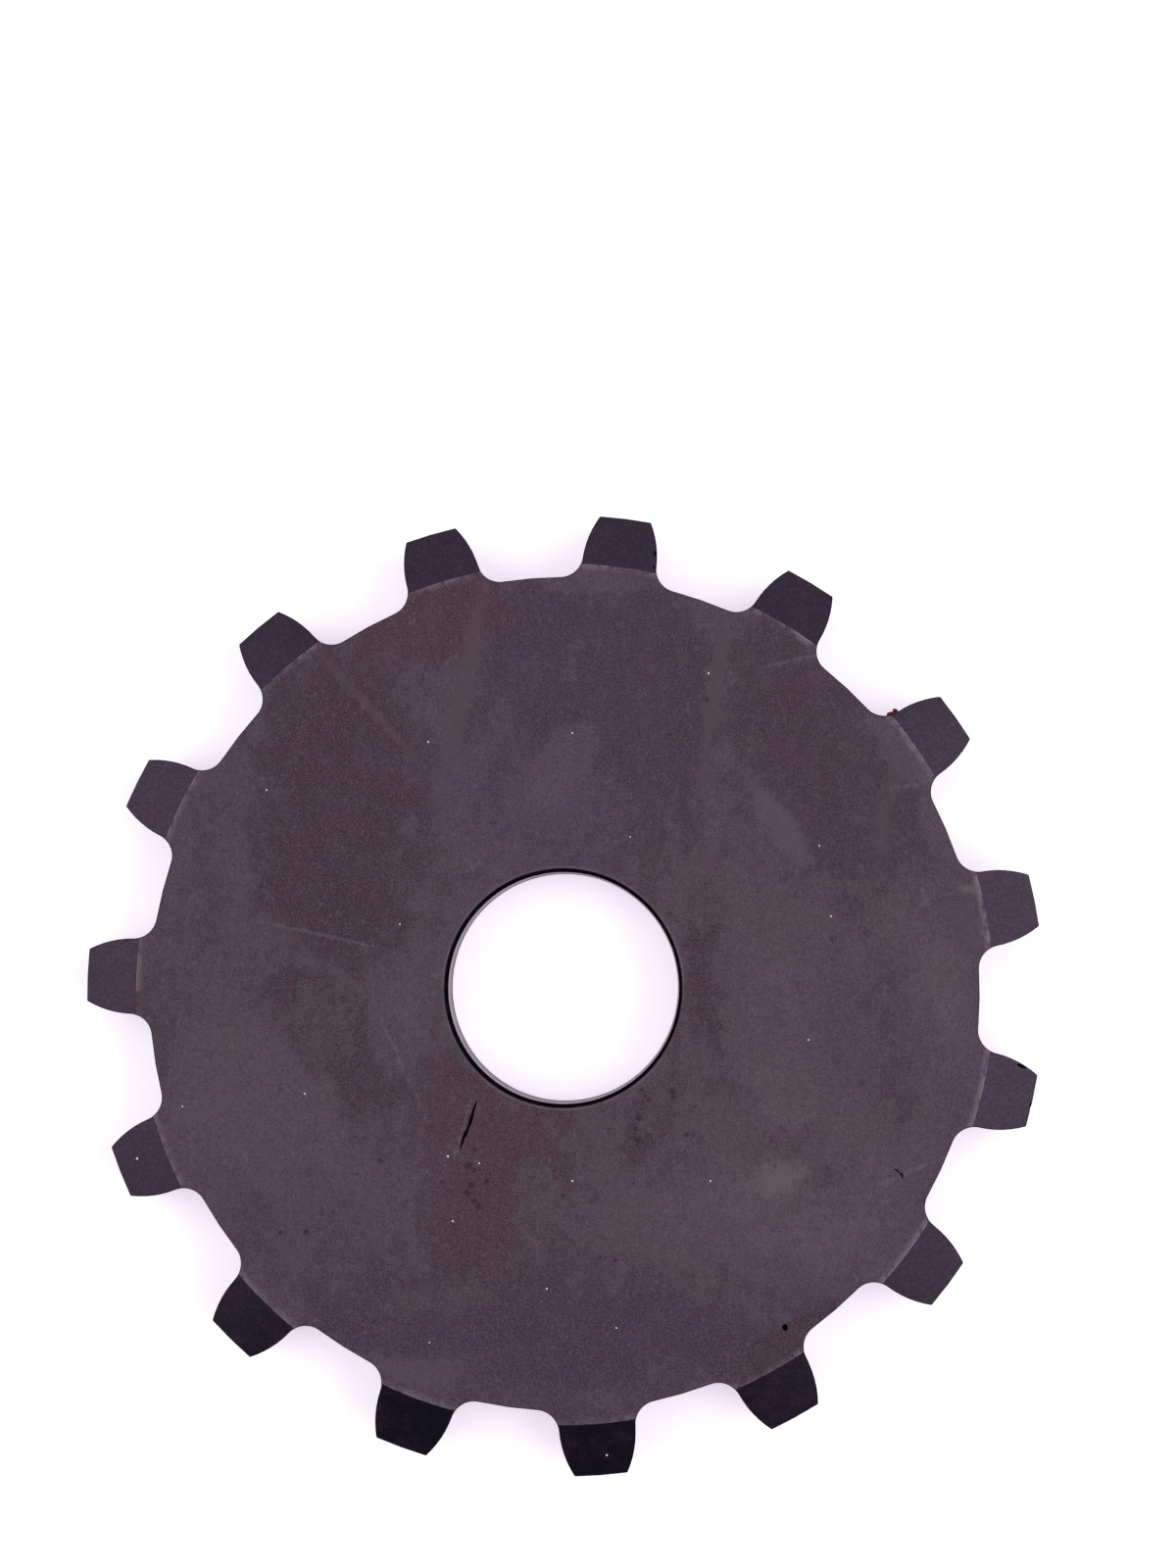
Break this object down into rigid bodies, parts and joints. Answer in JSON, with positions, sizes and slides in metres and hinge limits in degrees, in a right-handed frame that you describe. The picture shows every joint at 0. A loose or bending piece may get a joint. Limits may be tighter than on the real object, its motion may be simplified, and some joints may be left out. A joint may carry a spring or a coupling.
{
  "type": "chain sprocket",
  "caption": "Flat steel plate sprocket with a plain round bore and short blunt teeth set far apart, bevelled on both sides.",
  "frame": {"origin": "centre of the bore, half way through the plate", "axes": "+Z along the bore axis, out of the face that shows in the picture; +X through the middle of one tooth"},
  "size_m": [0.2485, 0.2496, 0.019],
  "materials": {
    "oxide_steel": "dark brown-grey rolling skin with a satin sheen, darker turned bevels on the teeth"
  },
  "bodies": {
    "root": {"sprocket": "oxide_steel"}
  },
  "joints": []
}
